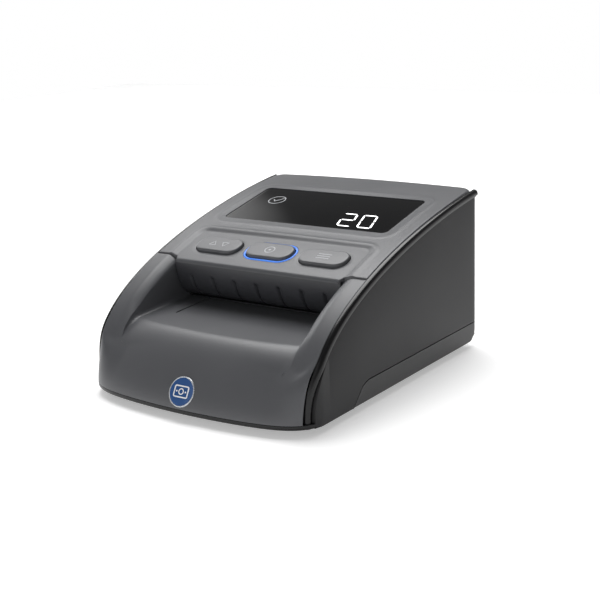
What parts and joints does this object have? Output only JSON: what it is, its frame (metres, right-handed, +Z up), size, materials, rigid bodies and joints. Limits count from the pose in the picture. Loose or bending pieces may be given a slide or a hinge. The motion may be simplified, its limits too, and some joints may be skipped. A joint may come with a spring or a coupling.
{
  "type": "counterfeit banknote detector",
  "caption": "Wedge-shaped countertop banknote checker with a front feed tray, hinged top unit, display, press keys and a geared roller drive to a rear exit.",
  "frame": {"origin": "middle of the footprint, on the surface the rubber feet stand on", "axes": "+X to the right seen from the front, +Y towards the rear, +Z up"},
  "size_m": [0.128, 0.168, 0.083],
  "materials": {
    "housing_grey": "fine spark texture",
    "base_grey": "fine spark texture",
    "trim_black": "satin",
    "cover_grey": "fine satin texture",
    "key_grey": "satin",
    "guide_grey": "satin, low friction",
    "tray_grey": "satin, low friction",
    "badge_blue": "gloss",
    "badge_silver": "satin chrome",
    "window_clear": "clear",
    "display_black": "high gloss",
    "board_green": "solder mask",
    "part_black": "moulded",
    "rubber_black": "matt",
    "screw_steel": "zinc plated",
    "sheet_steel": "galvanised",
    "shaft_steel": "ground",
    "spring_steel": "drawn",
    "bush_brass": "turned",
    "gear_white": "natural acetal",
    "motor_can": "plated can",
    "cell_blue": "shrink sleeve",
    "socket_black": "moulded",
    "socket_steel": "tinned",
    "light_blue": "light pipe",
    "door_grey": "fine spark texture",
    "button_grey": "satin"
  },
  "bodies": {
    "base_unit": {"main_housing": "housing_grey", "base_tray": "base_grey", "edge_trim": "trim_black", "front_bezel": "cover_grey", "badge_disc": "badge_blue", "badge_ring": "badge_silver", "feed_tray": "tray_grey", "lower_guide": "guide_grey", "lower_sensor_window": "window_clear", "lower_sensor_board": "board_green", "rubber_feet": "rubber_black", "case_screws": "screw_steel", "battery_pack": "cell_blue", "main_board": "board_green", "board_parts": "part_black", "board_pillars": "bush_brass", "io_board": "board_green", "dc_inlet": "socket_black", "card_slot": "socket_steel", "gear_chassis": "sheet_steel", "bearing_plate": "sheet_steel", "shaft_bushes": "bush_brass", "idler_studs": "shaft_steel", "drive_motor": "motor_can", "hinge_pins": "shaft_steel", "latch_spring": "spring_steel"},
    "battery_door": {"battery_door": "door_grey"},
    "motor_rotor": {"motor_shaft": "shaft_steel", "motor_pinion": "bush_brass"},
    "idler_a": {"idler_gear_a": "gear_white"},
    "idler_b": {"idler_gear_b": "gear_white"},
    "front_drive": {"front_drive_shaft": "shaft_steel", "front_drive_rollers": "rubber_black", "front_shaft_gear": "gear_white"},
    "rear_drive": {"rear_drive_shaft": "shaft_steel", "rear_drive_rollers": "rubber_black", "rear_shaft_gear": "gear_white"},
    "release": {"release_button": "button_grey"},
    "top_unit": {"top_cover": "cover_grey", "upper_guide": "guide_grey", "guide_posts": "guide_grey", "upper_sensor_window": "window_clear", "upper_sensor_board": "board_green", "magnetic_head": "socket_steel", "display_window": "display_black", "display_gasket": "rubber_black", "display_module": "part_black", "light_ring": "light_blue", "keypad_board": "board_green", "roller_blocks": "gear_white", "pressure_springs": "spring_steel"},
    "key_left": {"left_key": "key_grey"},
    "key_centre": {"centre_key": "key_grey"},
    "key_right": {"right_key": "key_grey"},
    "front_press": {"front_press_shaft": "shaft_steel", "front_press_rollers": "rubber_black"},
    "rear_press": {"rear_press_shaft": "shaft_steel", "rear_press_rollers": "rubber_black"}
  },
  "joints": [
    {"name": "top_unit_hinge", "type": "hinge", "parent": "base_unit", "child": "top_unit", "pos_m": [0, 0.0809, 0.061], "axis": [-1, 0, 0], "range_deg": [0, 50]},
    {"name": "left_key_press", "type": "slide", "parent": "top_unit", "child": "key_left", "axis": [0, 0.3307, -0.9437], "range_m": [0, 0.0008], "stiffness_N_per_m": 400, "springref_m": -0.0005},
    {"name": "centre_key_press", "type": "slide", "parent": "top_unit", "child": "key_centre", "axis": [0, 0.3307, -0.9437], "range_m": [0, 0.0008], "stiffness_N_per_m": 400, "springref_m": -0.0005},
    {"name": "right_key_press", "type": "slide", "parent": "top_unit", "child": "key_right", "axis": [0, 0.3307, -0.9437], "range_m": [0, 0.0008], "stiffness_N_per_m": 400, "springref_m": -0.0005},
    {"name": "front_drive_spin", "type": "hinge", "parent": "base_unit", "child": "front_drive", "pos_m": [0, -0.002, 0.029], "axis": [1, 0, 0], "continuous": true},
    {"name": "idler_a_spin", "type": "hinge", "parent": "base_unit", "child": "idler_a", "pos_m": [-0.055, 0.016, 0.029], "axis": [1, 0, 0], "continuous": true},
    {"name": "idler_b_spin", "type": "hinge", "parent": "base_unit", "child": "idler_b", "pos_m": [-0.055, 0.034, 0.029], "axis": [1, 0, 0], "continuous": true},
    {"name": "rear_drive_spin", "type": "hinge", "parent": "base_unit", "child": "rear_drive", "pos_m": [0, 0.052, 0.029], "axis": [1, 0, 0], "continuous": true},
    {"name": "motor_spin", "type": "hinge", "parent": "base_unit", "child": "motor_rotor", "pos_m": [-0.055, 0.016, 0.016], "axis": [1, 0, 0], "continuous": true},
    {"name": "front_press_spin", "type": "hinge", "parent": "top_unit", "child": "front_press", "pos_m": [0, -0.002, 0.0423], "axis": [1, 0, 0], "continuous": true},
    {"name": "rear_press_spin", "type": "hinge", "parent": "top_unit", "child": "rear_press", "pos_m": [0, 0.052, 0.0423], "axis": [1, 0, 0], "continuous": true},
    {"name": "release_press", "type": "slide", "parent": "base_unit", "child": "release", "axis": [1, 0, 0], "range_m": [0, 0.0025], "stiffness_N_per_m": 300, "springref_m": -0.001},
    {"name": "battery_door_lift", "type": "slide", "parent": "base_unit", "child": "battery_door", "axis": [0, 0, -1], "range_m": [0, 0.02]}
  ],
  "couplings": [
    {"joint": "idler_a_spin", "follows": "front_drive_spin", "ratio": -1},
    {"joint": "idler_b_spin", "follows": "front_drive_spin", "ratio": 1},
    {"joint": "rear_drive_spin", "follows": "front_drive_spin", "ratio": -1},
    {"joint": "motor_spin", "follows": "front_drive_spin", "ratio": 2.25},
    {"joint": "front_press_spin", "follows": "front_drive_spin", "ratio": -1.1667},
    {"joint": "rear_press_spin", "follows": "front_drive_spin", "ratio": 1.1667}
  ]
}
